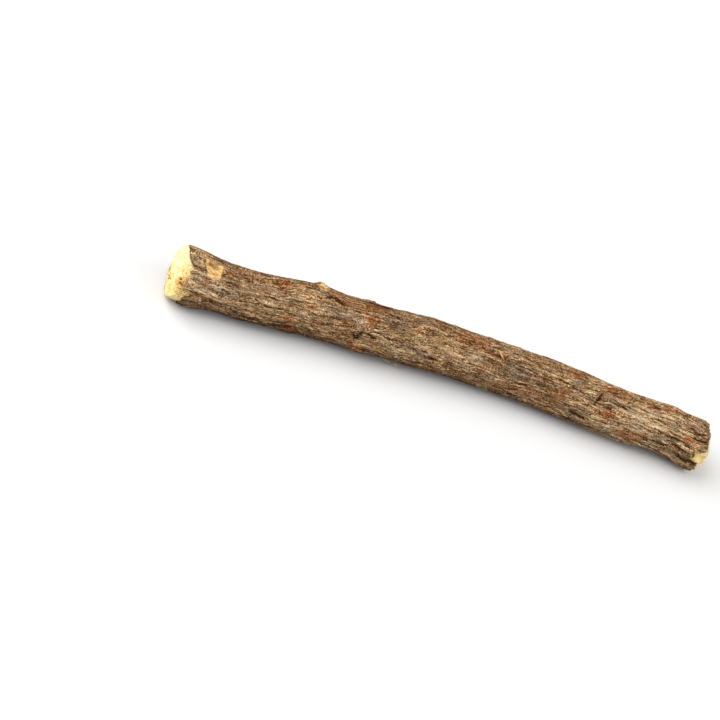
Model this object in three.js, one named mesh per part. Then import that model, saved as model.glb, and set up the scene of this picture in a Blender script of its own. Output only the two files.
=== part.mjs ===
// A dried licorice root stick: one length of root with its wrinkled bark on, cut across at both ends.
//
// It lies on a level surface, bowed to the back, and touches it along its underside, where the ridges
// are worn flat. Length runs along X, the back is +Y and +Z is up. The origin is the middle of the
// stick's outline, on the surface. Lengths are in millimetres.
//
// A place on the bark is given by s, the distance from the middle of the left cut, and by turn, the
// angle round the root in degrees: 0 faces the front, 90 faces up, 180 the back and 270 the surface.

import * as THREE from "three";

// ---- Driving dimensions -------------------------------------------------------------------------

const LENGTH = 168; // between the middles of the two cuts
const MEAN_RADIUS = 7.9;
const BARK = 0.7; // how thick the bark is at the cuts
const OUTLINE_MIDDLE = [-0.91, 2.21]; // X and Y of the outline's middle before it is moved to the origin

// Stations along the root: [s, value].
const SIDE = [
  [0, 0], [19, 0.1], [28, 0.8], [40, 2.7], [58, 3.2], [80, 4.7], [94, 5.2],
  [117, 4.4], [136, 2.7], [152, 2.0], [162, 0.9], [168, 0],
]; // how far the bow takes the root's middle to the back
const HEIGHT = [[0, 8.4], [40, 8.0], [80, 7.9], [120, 7.7], [168, 7.5]]; // of the root's middle
const RADIUS = [
  [0, 8.75], [4, 8.55], [12, 7.7], [21, 7.45], [33, 7.95], [42, 8.2], [52, 7.85], [59, 8.1],
  [68, 7.9], [80, 8.2], [94, 7.8], [111, 7.75], [127, 7.95], [144, 7.8], [155, 7.5], [162, 7.8],
  [168, 8.3],
];

// The cuts run nearly the same way. A lean above 0 turns the face from the root's own line towards
// CUT_TURN, and below 0 away from it. The wood stands proud of the cut, and is domed. The bark stops
// short of it, and shorter still where it is broken: [turn, reach in degrees, length]. A length below
// 0 is a flap that is left standing. The bark is thinner by the share thin round THIN_TURN.
const CUT_TURN = 43;
const CUTS = {
  left: {
    lean: 15, proud: 0.9, dome: 1.1, short: 0.35, thin: 0.7,
    broken: [[350, 22, 2.3], [300, 40, 1.7], [102, 30, -1.3], [44, 26, 0.5]],
  },
  right: { lean: -10, proud: -0.4, dome: 0.7, short: 0.6, thin: 0, broken: [[14, 19, 1.7]] },
};
const THIN_TURN = 140;
const THIN_REACH = 50; // degrees each side
const CUT_BLEND = 12; // length over which the rows of the bark swing round from a cut to square
const RAGGED = { height: 0.35, long: 10, wide: 2.6 }; // the torn edge of the bark
const FACE_GRAIN = { height: 0.3, wide: 4 }; // the uneven face of the wood
const WOOD_EDGE = { inset: 0.3, drop: 0.4 }; // worn off the wood's rim; drop is a share of proud
const FACE_RINGS = [0.66, 0.34]; // as shares of the wood's radius

// Wrinkles: furrows that run along the root, wander a little, and split and join.
const FURROW = { spacing: 4.4, length: 26, width: 0.2, wander: 16 };
const FURROW_DEPTH = [[0, 0.45], [25, 0.3], [100, 0.3], [140, 0.42], [168, 0.6]]; // [s, value]
const OUT_OF_ROUND = { height: 0.32, long: 34, wide: 9 };

// Single features: rise is the height, and long and wide are the reach along and round the root.
const FEATURES = [
  { s: 5, turn: 305, rise: 0.6, long: 5.0, wide: 5.0 },
  { s: 19, turn: 315, rise: 0.55, long: 6.0, wide: 4.0 },
  { s: 8.9, turn: 74, rise: -0.55, long: 2.9, wide: 2.9 }, // chipped bark round a rootlet scar
  { s: 41.8, turn: 118, rise: 1.1, long: 1.9, wide: 1.9 }, // stump of a rootlet
  { s: 35, turn: 313, rise: 0.55, long: 2.6, wide: 3.4 },
  { s: 55.8, turn: 22, rise: 0.5, long: 4.4, wide: 3.2 }, // knot
  { s: 55.2, turn: 20, rise: -0.95, long: 1.4, wide: 1.6 }, // and the hole in it
  { s: 57.5, turn: 344, rise: 0.55, long: 2.8, wide: 3.4 },
  { s: 57.5, turn: 95, rise: 0.35, long: 2.0, wide: 7.0 }, // low ring of an old joint
  { s: 74, turn: 105, rise: 0.35, long: 7.0, wide: 5.0 },
  { s: 86, turn: 318, rise: -0.45, long: 5.0, wide: 4.0 },
  { s: 98, turn: 68, rise: 0.4, long: 3.2, wide: 2.6 },
  { s: 120, turn: 315, rise: 0.35, long: 18.0, wide: 4.0 },
  { s: 128.3, turn: 5, rise: -0.8, long: 2.6, wide: 1.1 }, // long pit
  { s: 132.7, turn: 54, rise: -0.5, long: 1.1, wide: 2.6 }, // crack across
  { s: 147, turn: 330, rise: 0.45, long: 4.5, wide: 3.6 },
  { s: 156, turn: 315, rise: -0.4, long: 5.0, wide: 4.0 },
  { s: 167, turn: 318, rise: 0.2, long: 3.5, wide: 4.0 },
  { s: 112, turn: 128, rise: 0.25, long: 12.0, wide: 6.0 }, // the low humps of the upper back
  { s: 135, turn: 128, rise: 0.25, long: 9.0, wide: 6.0 },
  { s: 155.5, turn: 124, rise: 0.7, long: 3.8, wide: 5.0 },
  { s: 26, turn: 214, rise: 0.9, long: 2.4, wide: 2.4 },
  { s: 72, turn: 190, rise: 0.5, long: 4.5, wide: 3.5 },
  { s: 84, turn: 270, rise: 0.35, long: 7.0, wide: 6.0 }, // swelling that the root rests on
  { s: 106, turn: 232, rise: 0.6, long: 3.4, wide: 2.8 },
  { s: 139, turn: 176, rise: 1.0, long: 2.2, wide: 2.2 },
];

const COLOUR = "#8f7152"; // dull brown bark
const NOISE_SEED = 4711;

// The grid of the bark: columns round it and rows along it.
const COLUMNS = 60;
const ROWS = 91;

// ---- Numbers along and round the root -----------------------------------------------------------

const radians = THREE.MathUtils.degToRad;

// A smooth curve through the stations, level at the first and the last.
function along(stations, s) {
  const last = stations.length - 1;
  let i = 0;
  while (i < last - 1 && s > stations[i + 1][0]) i++;
  const slopeAt = (k) =>
    k === 0 || k === last
      ? 0
      : (stations[k + 1][1] - stations[k - 1][1]) / (stations[k + 1][0] - stations[k - 1][0]);
  const [s0, v0] = stations[i];
  const [s1, v1] = stations[i + 1];
  const span = s1 - s0;
  const t = THREE.MathUtils.clamp((s - s0) / span, 0, 1);
  const rest = 1 - t;
  return (
    v0 * (1 + 2 * t) * rest * rest +
    slopeAt(i) * span * t * rest * rest +
    v1 * t * t * (3 - 2 * t) -
    slopeAt(i + 1) * span * t * t * rest
  );
}

// Park and Miller's random number generator.
const RANDOM_FACTOR = 48271;
const RANDOM_LIMIT = 2147483647;

// Gradient noise, about -1 to 1, on a table of 256 numbers that is shuffled from a seed.
function makeNoise(seed) {
  const table = Array.from({ length: 256 }, (_, i) => i);
  let state = seed;
  for (let i = 255; i > 0; i--) {
    state = (state * RANDOM_FACTOR) % RANDOM_LIMIT;
    const j = state % (i + 1);
    [table[i], table[j]] = [table[j], table[i]];
  }
  const at = (i) => table[i & 255];
  const fade = (t) => t * t * t * (t * (t * 6 - 15) + 10);
  const slope = (hash, x, y, z) => {
    const h = hash & 15;
    const u = h < 8 ? x : y;
    const v = h < 4 ? y : h === 12 || h === 14 ? x : z;
    return (h & 1 ? -u : u) + (h & 2 ? -v : v);
  };
  return (x, y, z) => {
    const [i, j, k] = [Math.floor(x), Math.floor(y), Math.floor(z)];
    const [u, v, w] = [x - i, y - j, z - k];
    let sum = 0;
    for (let corner = 0; corner < 8; corner++) {
      const [a, b, c] = [corner & 1, (corner >> 1) & 1, corner >> 2];
      const weight =
        fade(a ? u : 1 - u) * fade(b ? v : 1 - v) * fade(c ? w : 1 - w);
      sum += weight * slope(at(at(at(i + a) + j + b) + k + c), u - a, v - b, w - c);
    }
    return sum;
  };
}
const noise = makeNoise(NOISE_SEED);

// Noise on the bark: long and wide are the sizes of its cells along and round the root.
function barkNoise(s, turn, long, wide) {
  const reach = MEAN_RADIUS / wide;
  return noise(s / long, reach * Math.cos(radians(turn)), reach * Math.sin(radians(turn)));
}

// The shorter way round from one turn to another, from -180 to 180.
const turnBetween = (a, b) => THREE.MathUtils.euclideanModulo(b - a + 180, 360) - 180;

// ---- The bark's surface -------------------------------------------------------------------------

function furrows(s, turn) {
  const drift = FURROW.wander * barkNoise(s + 300, turn, 30, 8);
  const n = barkNoise(s, turn + drift, FURROW.length, FURROW.spacing);
  return -along(FURROW_DEPTH, s) * Math.exp(-((n / FURROW.width) ** 2));
}

function features(s, turn) {
  let height = 0;
  for (const f of FEATURES) {
    const round = radians(turnBetween(f.turn, turn)) * MEAN_RADIUS;
    height += f.rise * Math.exp(-(((s - f.s) / f.long) ** 2) - (round / f.wide) ** 2);
  }
  return height;
}

function radiusAt(s, turn) {
  const lobes = OUT_OF_ROUND.height * barkNoise(s - 200, turn, OUT_OF_ROUND.long, OUT_OF_ROUND.wide);
  return along(RADIUS, s) + lobes + furrows(s, turn) + features(s, turn);
}

// A point at distance r from the root's middle line. Below the surface it is worn flat.
function place(s, turn, r) {
  const step = 0.5;
  const middle = (q) => new THREE.Vector3(q, along(SIDE, q), along(HEIGHT, q));
  const forward = middle(s + step).sub(middle(s - step)).normalize();
  const back = new THREE.Vector3(0, 0, 1).cross(forward).normalize();
  const up = forward.clone().cross(back);
  const point = middle(s)
    .addScaledVector(back, -r * Math.cos(radians(turn)))
    .addScaledVector(up, r * Math.sin(radians(turn)));
  point.x -= LENGTH / 2 + OUTLINE_MIDDLE[0];
  point.y -= OUTLINE_MIDDLE[1];
  point.z = Math.max(point.z, 0);
  return point;
}

// ---- The cuts -----------------------------------------------------------------------------------

// How far outwards from its middle the flat of a cut lies, at distance r from that middle.
function leanShift(cut, turn, r) {
  return -Math.tan(radians(cut.lean)) * r * Math.cos(radians(turn - CUT_TURN));
}

// How far the bark stops short of the cut: ragged all round, and broken back in places.
function bareLength(cut, turn) {
  let length = cut.short + RAGGED.height * barkNoise(cut.lean, turn, RAGGED.long, RAGGED.wide);
  for (const [at, reach, back] of cut.broken) {
    length += back * Math.exp(-((turnBetween(at, turn) / reach) ** 4));
  }
  return length;
}

function barkThickness(cut, turn) {
  return BARK * (1 - cut.thin * Math.exp(-((turnBetween(THIN_TURN, turn) / THIN_REACH) ** 4)));
}

// The rings of one end, from the bark's rim inwards. Each is [distance from the root's middle line,
// how far outwards it lies from the middle of the cut].
function endRing(cut, end, sEnd, outward, turn) {
  const rim = radiusAt(sEnd, turn);
  const wood = rim - barkThickness(cut, turn);
  const bare = bareLength(cut, turn);
  const grain = (r) =>
    FACE_GRAIN.height * barkNoise(sEnd + 40 + 3 * r, turn, 2.2, FACE_GRAIN.wide);
  const faceAt = (share) => {
    const r = wood * share;
    return [r, leanShift(cut, turn, r) + cut.proud + cut.dome * (1 - share * share) + grain(r)];
  };
  const rings = [
    [rim, leanShift(cut, turn, rim) - bare],
    [wood, leanShift(cut, turn, wood) - bare],
    [wood - WOOD_EDGE.inset, leanShift(cut, turn, wood) + (1 - WOOD_EDGE.drop) * cut.proud],
    ...FACE_RINGS.map(faceAt),
  ];
  const [r, shift] = rings[end];
  return place(sEnd + outward * shift, turn, r);
}

// ---- The grid -----------------------------------------------------------------------------------

const rowStations = () => Array.from({ length: ROWS }, (_, i) => (LENGTH * i) / (ROWS - 1));

function barkRow(s) {
  const { left, right } = CUTS;
  return (turn) => {
    const r = radiusAt(s, turn);
    const nearLeft = THREE.MathUtils.smoothstep(CUT_BLEND - s, 0, CUT_BLEND);
    const nearRight = THREE.MathUtils.smoothstep(s - LENGTH + CUT_BLEND, 0, CUT_BLEND);
    const shift =
      nearRight * (leanShift(right, turn, r) - bareLength(right, turn)) -
      nearLeft * (leanShift(left, turn, r) - bareLength(left, turn));
    return place(s + shift, turn, r);
  };
}

// A closed surface from rows of points and a point at each end.
function closedGrid(rows, first, last) {
  const positions = [first, ...rows.flat(), last].flatMap((p) => [p.x, p.y, p.z]);
  const index = [];
  const at = (row, column) => 1 + row * COLUMNS + (column % COLUMNS);
  const lastPoint = 1 + rows.length * COLUMNS;
  for (let c = 0; c < COLUMNS; c++) {
    index.push(0, at(0, c), at(0, c + 1));
    index.push(lastPoint, at(rows.length - 1, c + 1), at(rows.length - 1, c));
    for (let r = 0; r + 1 < rows.length; r++) {
      index.push(at(r, c), at(r + 1, c), at(r + 1, c + 1));
      index.push(at(r, c), at(r + 1, c + 1), at(r, c + 1));
    }
  }
  const geometry = new THREE.BufferGeometry();
  geometry.setAttribute("position", new THREE.Float32BufferAttribute(positions, 3));
  geometry.setIndex(index);
  geometry.computeVertexNormals();
  return geometry;
}

function rootGeometry() {
  const turns = Array.from({ length: COLUMNS }, (_, c) => (360 * c) / COLUMNS);
  const { left, right } = CUTS;
  const ringsInside = [1, 2, 3, 4];
  const rows = [
    ...ringsInside.toReversed().map((k) => turns.map((turn) => endRing(left, k, 0, -1, turn))),
    ...rowStations().map((s) => turns.map(barkRow(s))),
    ...ringsInside.map((k) => turns.map((turn) => endRing(right, k, LENGTH, 1, turn))),
  ];
  const leftMiddle = place(-left.proud - left.dome, 0, 0);
  const rightMiddle = place(LENGTH + right.proud + right.dome, 0, 0);
  return closedGrid(rows, leftMiddle, rightMiddle);
}

// ---- The part -----------------------------------------------------------------------------------

const bark = new THREE.MeshStandardMaterial({ color: COLOUR, roughness: 0.95, metalness: 0 });
const root = new THREE.Mesh(rootGeometry(), bark);
root.name = "licorice_root";

const part = new THREE.Group();
part.name = "licorice_root_stick";
part.add(root);

export default part;
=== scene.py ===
"""Dresses the dried licorice root stick: its bark, the wood of its cuts, flakes and fibres.

The shape repeats the CAD's formulas, in millimetres, at a finer grain. A place on the bark is
given by s, the distance from the middle of the left cut, and by turn, the angle round the root in
degrees: 0 faces the front, 90 faces up, 180 the back and 270 the floor.
"""

import math

import bpy
import numpy as np
from mathutils import Matrix, Vector


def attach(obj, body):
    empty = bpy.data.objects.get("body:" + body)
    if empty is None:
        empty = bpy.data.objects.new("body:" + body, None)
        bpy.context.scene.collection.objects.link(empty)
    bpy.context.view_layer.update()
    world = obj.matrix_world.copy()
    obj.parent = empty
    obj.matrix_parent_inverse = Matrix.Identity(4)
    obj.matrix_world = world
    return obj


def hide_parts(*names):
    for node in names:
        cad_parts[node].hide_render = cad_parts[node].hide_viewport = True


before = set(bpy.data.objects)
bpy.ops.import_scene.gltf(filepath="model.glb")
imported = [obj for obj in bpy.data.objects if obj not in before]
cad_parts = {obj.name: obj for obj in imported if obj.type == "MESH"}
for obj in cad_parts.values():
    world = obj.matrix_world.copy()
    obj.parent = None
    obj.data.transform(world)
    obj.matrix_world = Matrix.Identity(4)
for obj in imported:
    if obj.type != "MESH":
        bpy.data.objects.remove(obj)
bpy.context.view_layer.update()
scene = bpy.context.scene

MM = 0.001  # in metres

# ---- The root's shape, as in the CAD ----

LENGTH = 168.0  # between the middles of the two cuts
MEAN_RADIUS = 7.9
BARK = 0.7  # how thick the bark is at the cuts
OUTLINE_MIDDLE = (-0.91, 2.21)  # x and y of the outline's middle before it is moved to the origin

# Stations along the root, each s and value: how far the bow takes its middle to the back, how high
# the middle lies, and the radius.
SIDE = [
    (0, 0), (19, 0.1), (28, 0.8), (40, 2.7), (58, 3.2), (80, 4.7), (94, 5.2),
    (117, 4.4), (136, 2.7), (152, 2.0), (162, 0.9), (168, 0),
]
HEIGHT = [(0, 8.4), (40, 8.0), (80, 7.9), (120, 7.7), (168, 7.5)]
RADIUS = [
    (0, 8.75), (4, 8.55), (12, 7.7), (21, 7.45), (33, 7.95), (42, 8.2), (52, 7.85), (59, 8.1),
    (68, 7.9), (80, 8.2), (94, 7.8), (111, 7.75), (127, 7.95), (144, 7.8), (155, 7.5), (162, 7.8),
    (168, 8.3),
]

# The cuts. lean: how far the face leans, in degrees, towards CUT_TURN or, below 0, away from it.
# proud, dome: how far the wood's rim stands out past the cut, and its middle past the rim.
# short: how far the bark stops short of the cut. thin: by what share the bark is thinner round
# THIN_TURN, over THIN_REACH each side. broken: where the bark is broken back or, below 0, left
# standing, as turn, reach in degrees and length. notches: the same, but finer than the CAD's.
CUT_TURN = 43
LEFT = {
    "lean": 15, "proud": 0.9, "dome": 1.1, "short": 0.35, "thin": 0.7,
    "broken": [(350, 22, 2.3), (300, 40, 1.7), (102, 30, -1.3), (44, 26, 0.5)],
    "notches": [(359, 5, 0.5), (9, 6, -0.8), (20, 9, -1.3), (33, 7, -0.8), (52, 6, -1.0),
                (62, 4, 0.3), (341, 14, -2.1), (322, 14, -1.2)],
}
RIGHT = {
    "lean": -10, "proud": -0.4, "dome": 0.7, "short": 0.6, "thin": 0,
    "broken": [(14, 19, 1.7)],
    "notches": [(23, 6, 1.4), (7, 4.5, 1.2), (0, 4, -0.7), (348, 5, 1.0), (331, 8, 0.45),
                (315, 14, -0.4), (60, 40, 0.2)],
}
THIN_TURN = 140
THIN_REACH = 50
CUT_BLEND = 12  # length over which the rows of the bark swing round from a cut to square

# Furrows run along the root and wander by up to wander degrees. Their depth is given as s, value.
FURROW = {"spacing": 4.4, "length": 26, "width": 0.2, "wander": 16}
FURROW_DEPTH = [(0, 0.45), (25, 0.3), (100, 0.3), (140, 0.42), (168, 0.6)]
OUT_OF_ROUND = {"height": 0.32, "long": 34, "wide": 9}

# Each feature: s, turn, rise, long, wide.
FEATURES = [
    (5, 305, 0.6, 5, 5), (19, 315, 0.55, 6, 4), (8.9, 74, -0.55, 2.9, 2.9),
    (41.8, 118, 1.1, 1.9, 1.9), (35, 313, 0.55, 2.6, 3.4), (55.8, 22, 0.5, 4.4, 3.2),
    (55.2, 20, -0.95, 1.4, 1.6), (57.5, 344, 0.55, 2.8, 3.4), (57.5, 95, 0.35, 2, 7),
    (74, 105, 0.35, 7, 5), (86, 318, -0.45, 5, 4), (98, 68, 0.4, 3.2, 2.6),
    (120, 315, 0.35, 18, 4), (128.3, 5, -0.8, 2.6, 1.1), (132.7, 54, -0.5, 1.1, 2.6),
    (147, 330, 0.45, 4.5, 3.6), (156, 315, -0.4, 5, 4), (167, 318, 0.2, 3.5, 4),
    (112, 128, 0.25, 12, 6), (135, 128, 0.25, 9, 6), (155.5, 124, 0.7, 3.8, 5),
    (26, 214, 0.9, 2.4, 2.4), (72, 190, 0.5, 4.5, 3.5), (84, 270, 0.35, 7, 6),
    (106, 232, 0.6, 3.4, 2.8), (139, 176, 1, 2.2, 2.2),
]

NOISE_SEED = 4711


def along(stations, s):
    """A smooth curve through the stations, level at the first and the last."""
    at = np.array([p[0] for p in stations], float)
    value = np.array([p[1] for p in stations], float)
    slope = np.zeros(len(at))
    slope[1:-1] = (value[2:] - value[:-2]) / (at[2:] - at[:-2])
    i = np.clip(np.searchsorted(at, s, side="left") - 1, 0, len(at) - 2)
    span = at[i + 1] - at[i]
    t = np.clip((s - at[i]) / span, 0, 1)
    rest = 1 - t
    return (
        value[i] * (1 + 2 * t) * rest * rest
        + slope[i] * span * t * rest * rest
        + value[i + 1] * t * t * (3 - 2 * t)
        - slope[i + 1] * span * t * t * rest
    )


def shuffled_table(seed):
    """The numbers 0 to 255, shuffled by the Park-Miller generator."""
    table = list(range(256))
    state = seed
    for i in range(255, 0, -1):
        state = (state * 48271) % 2147483647
        j = state % (i + 1)
        table[i], table[j] = table[j], table[i]
    return np.array(table)


TABLE = shuffled_table(NOISE_SEED)


def noise(x, y, z):
    """Gradient noise, about -1 to 1."""
    x, y, z = np.broadcast_arrays(x, y, z)
    i, j, k = (np.floor(q).astype(int) for q in (x, y, z))
    u, v, w = x - i, y - j, z - k

    def fade(t):
        return t * t * t * (t * (t * 6 - 15) + 10)

    fades = [(1 - fade(t), fade(t)) for t in (u, v, w)]
    total = np.zeros(x.shape)
    for corner in range(8):
        a, b, c = corner & 1, (corner >> 1) & 1, corner >> 2
        h = TABLE[(TABLE[(TABLE[(i + a) & 255] + j + b) & 255] + k + c) & 255] & 15
        dx, dy, dz = u - a, v - b, w - c
        first = np.where(h < 8, dx, dy)
        second = np.where(h < 4, dy, np.where((h == 12) | (h == 14), dx, dz))
        slope = np.where(h & 1, -first, first) + np.where(h & 2, -second, second)
        total += fades[0][a] * fades[1][b] * fades[2][c] * slope
    return total


def bark_noise(s, turn, long, wide):
    """Noise in lumps of about long along the root and wide round it. What a call adds to s only
    picks a fresh part of the noise."""
    reach = MEAN_RADIUS / wide
    angle = np.radians(turn)
    return noise(s / long, reach * np.cos(angle), reach * np.sin(angle))


def turn_between(a, b):
    """Degrees from turn a to turn b, the short way round."""
    return np.mod(b - a + 180, 360) - 180


def mm_round(a, b):
    """Millimetres round the root from turn a to turn b."""
    return np.radians(turn_between(a, b)) * MEAN_RADIUS


def smoothstep(x, low, high):
    """0 at low, 1 at high, and smooth between them."""
    t = np.clip((x - low) / (high - low), 0, 1)
    return t * t * (3 - 2 * t)


def furrows(s, turn):
    """Height of the furrows, all below 0."""
    drift = FURROW["wander"] * bark_noise(s + 300, turn, 30, 8)
    n = bark_noise(s, turn + drift, FURROW["length"], FURROW["spacing"])
    return -along(FURROW_DEPTH, s) * np.exp(-((n / FURROW["width"]) ** 2))


def bump_at(s, turn, at, turn_at, long, wide):
    """1 at a place on the bark, falling to 0 over long and wide."""
    return np.exp(-(((s - at) / long) ** 2) - (mm_round(turn_at, turn) / wide) ** 2)


def features(s, turn):
    """Height of the knots, humps, stumps, pits and scars."""
    return sum(rise * bump_at(s, turn, at, t, long, wide) for at, t, rise, long, wide in FEATURES)


def radius_at(s, turn):
    """Radius of the root as the CAD has it."""
    lobes = bark_noise(s - 200, turn, OUT_OF_ROUND["long"], OUT_OF_ROUND["wide"])
    lobes = OUT_OF_ROUND["height"] * lobes
    return along(RADIUS, s) + lobes + furrows(s, turn) + features(s, turn)


def middle(s):
    return np.stack([s, along(SIDE, s), along(HEIGHT, s)], -1)


def unit(v):
    return v / np.linalg.norm(v, axis=-1, keepdims=True)


def place(s, turn, r):
    """Points at distance r from the root's middle line. None lies below the floor."""
    s, turn, r = np.broadcast_arrays(*(np.asarray(q, float) for q in (s, turn, r)))
    forward = unit(middle(s + 0.5) - middle(s - 0.5))
    back = unit(np.cross([0.0, 0.0, 1.0], forward))
    up = np.cross(forward, back)
    angle = np.radians(turn)[..., None]
    r = r[..., None]
    point = middle(s) - back * r * np.cos(angle) + up * r * np.sin(angle)
    point[..., 0] -= LENGTH / 2 + OUTLINE_MIDDLE[0]
    point[..., 1] -= OUTLINE_MIDDLE[1]
    point[..., 2] = np.maximum(point[..., 2], 0)
    return point


def lean_shift(cut, turn, r):
    """How far along the root a leaning cut lies past its own middle."""
    return -math.tan(math.radians(cut["lean"])) * r * np.cos(np.radians(turn - CUT_TURN))


def bare_length(cut, turn, torn=1.0):
    """How far the bark stops short of the cut, with torn teeth finer than the CAD's."""
    length = cut["short"] + 0.35 * bark_noise(cut["lean"], turn, 10, 2.6)
    loose = 0.0
    for at, reach, back in cut["broken"]:
        share = np.exp(-((turn_between(at, turn) / reach) ** 4))
        length = length + back * share
        loose = np.maximum(loose, share * (back > 0))
    teeth = np.abs(bark_noise(cut["lean"] + 90, turn, 10, 1.0))
    fine_teeth = bark_noise(cut["lean"] + 190, turn, 10, 0.4)
    for at, reach, back in cut["notches"]:
        length = length + torn * back * np.clip(1 - np.abs(turn_between(at, turn)) / reach, 0, 1)
    return length + torn * ((0.25 + 0.7 * loose) * teeth + (0.14 + 0.2 * loose) * fine_teeth)


def bark_thickness(cut, turn):
    return BARK * (1 - cut["thin"] * np.exp(-((turn_between(THIN_TURN, turn) / THIN_REACH) ** 4)))


# ---- Finer bark ----

MM_PER_DEGREE = 0.138  # round the root

# Cracks that stand out: width, and the places (s, turn) that they run through.
CRACKS = [
    (0.3, [(21.7, 90), (23, 88), (24.4, 83)]),
    (0.22, [(12.8, 57), (15.3, 58), (17.8, 56)]),
    (0.24, [(11, 44), (13, 39), (15.2, 31)]),
    (0.28, [(22.6, 39), (24.6, 31), (27.5, 28), (30.8, 29)]),
    (0.34, [(16.8, -8), (20, -17), (27.8, -21)]),
    (0.24, [(3, 13), (8.8, 13)]),
    (0.24, [(5.4, -6), (11.8, 1), (14.8, -3)]),
    (0.22, [(27.4, 92), (29, 97)]),
    (0.24, [(26, 53), (29.5, 49)]),
    (0.8, [(43.4, 80), (45.4, 88), (47.4, 87), (49.4, 77)]),
    (0.5, [(51.6, 75), (53.4, 73), (55.2, 70)]),
    (0.45, [(54.4, 18), (55.2, 12), (55.9, 9)]),
    (0.55, [(55.9, 9), (56, 20), (56.3, 31)]),
    (0.42, [(56.3, 31), (57.6, 32), (59.5, 27), (61, 22)]),
    (0.22, [(58.2, 35), (61.2, 39), (64, 33), (69.2, 30)]),
    (0.45, [(64.6, 72), (67.4, 70)]),
    (0.22, [(62, 90), (67, 88)]),
    (0.24, [(45.5, 23), (47.8, 27)]),
    (0.36, [(78, 18), (79.8, 16), (82.2, 13)]),
    (0.24, [(81.5, 75), (85, 78)]),
    (0.3, [(90, 27), (92, 30), (94.2, 28)]),
    (0.34, [(106, -17), (108.4, -15)]),
    (0.24, [(104, 63), (107.8, 61), (111.2, 58)]),
    (0.32, [(112.6, 38), (115.6, 36)]),
    (0.26, [(117, 66), (122.5, 63), (128.8, 52)]),
    (0.62, [(125.6, 1), (127.4, -2), (131.2, -2)]),
    (0.4, [(133.2, 74), (132.6, 58), (131.6, 40)]),
    (0.28, [(140.8, 72), (142.6, 78)]),
    (0.24, [(138, 66), (141.4, 58)]),
    (0.32, [(149.6, 57), (151, 61), (156.2, 57)]),
    (0.34, [(151.4, 39), (156.2, 35), (160.2, 35), (166, 29)]),
    (0.32, [(152, 5), (157.2, 7), (159.5, 20)]),
    (0.34, [(159, 22), (164, 17), (166.8, 15)]),
    (0.34, [(149.5, -16), (153.8, -20), (157.5, -24), (162.5, -34)]),
    (0.3, [(160, 62), (163.8, 63), (167.4, 72)]),
    (0.26, [(163.4, 52), (167.8, 55)]),
    (0.3, [(160.5, -2), (166, -8)]),
    (0.3, [(158.6, 95), (166, 92)]),
]

# Rust-red patches: s, turn, reach along and round, strength.
RUST = [
    (13, 75, 3.4, 1.4, 0.7), (9, 92, 3, 0.8, 0.6), (6.8, 41, 1.6, 2, 0.5),
    (20, 88, 2.4, 1.4, 0.5), (30.5, 92, 2.6, 2.6, 0.7), (36.2, 98, 1.5, 1.5, 0.5),
    (34, 7, 2.5, 1.6, 0.8), (34.2, -23, 2.6, 2, 0.8), (39, 58, 2, 2.2, 0.7),
    (42.5, 122, 2.8, 3, 0.6), (47.5, 96, 5, 1.6, 0.6), (53, 86, 4.5, 2, 0.6),
    (58.2, 62, 2, 2.4, 0.85), (57.5, 80, 2.2, 3.2, 0.7), (59.6, 104, 3.6, 2.6, 0.8),
    (53, 38, 2.6, 1.1, 0.5), (51.6, 28, 1.5, 1.5, 0.5), (57, -15, 2.8, 1.8, 0.95),
    (76.5, -26, 5, 1.1, 0.6), (90.5, 84, 6, 3.6, 0.65), (95.5, 62, 3, 2.2, 0.5),
    (101, 66, 1.5, 1.3, 0.9), (96.2, 32, 1.7, 1.6, 0.6), (104, -2, 9, 2.2, 0.4),
    (112.5, 120, 2.4, 1.8, 0.7), (124.2, 97, 3.4, 1.5, 0.95), (121.2, 36, 2, 2.2, 0.75),
    (135.8, 92, 3.4, 1.8, 0.85), (139.6, 85, 1.8, 2.4, 0.7), (136.5, 34, 1.7, 1.9, 0.95),
    (133.5, 27, 1.5, 1.2, 0.5), (149.8, 91, 2.4, 2, 0.7), (155, 101, 2.2, 1.3, 0.95),
    (158.8, 118, 2, 1.2, 0.8), (150, 53, 1.6, 1, 0.5), (149.5, 12, 1.3, 1.2, 0.6),
    (145.5, -6, 4.5, 2.2, 0.7), (9, 4, 2, 1.6, 0.4), (162.5, 82, 2, 1, 0.4),
    (115, 11, 9, 2.4, 0.45),
]
# A smooth round scar of brown-red cork: s, turn, reach.
CORK = (162.8, 43, 1.75)
# Grey and pale patches, in the same five numbers as the rust.
GREY = [
    (106, 48, 6, 2.6, 1), (100, 20, 5, 1.4, 0.6), (50, 54, 8, 1.6, 0.9),
    (66, 78, 5, 2, 0.7), (113.5, 38, 3, 1.2, 0.8), (8, 50, 6, 3, 0.5),
    (74, 96, 4, 2, 0.6), (103, 88, 4, 1.6, 0.6), (141, 62, 4, 1.2, 0.7),
    (160, 70, 5, 1.2, 0.5),
]
LIGHT = [
    (88, 50, 7, 3.4, 1), (78, 55, 6, 4, 0.5), (72, 10, 6, 2.5, 0.5),
    (152, 50, 9, 2.4, 0.9), (148, 64, 5, 1.4, 0.7), (100, 84, 4, 2, 0.5),
    (70, 64, 3, 1.6, 0.7), (160, 54, 6, 1, 0.9), (26.5, 36, 3, 1.3, 0.8),
    (137, 6, 4, 1.4, 0.6), (2.2, 78, 2.6, 2.4, 0.6),
]

# How much paler the bark grows along the root: s, share.
FADING = [(0, 0.3), (30, 0.22), (60, -0.08), (100, -0.2), (125, 0.12), (145, 0.72), (168, 0.45)]
# Painted light: how much paler its front is than its top: s, share.
FRONT_PAINTED_LIGHT = [(0, 0.6), (60, 0.6), (95, 0.1), (168, 0.1)]
# Painted shade: how much darker it is low down at the front: s, share.
LOW_SHADE = [(0, 1.7), (30, 1.9), (60, 1.0), (100, 0.8), (130, 0.4), (168, 0.2)]
# Painted shade next to the floor.
FLOOR_SHADE = 0.9  # how much darker it is next to the floor
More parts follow.
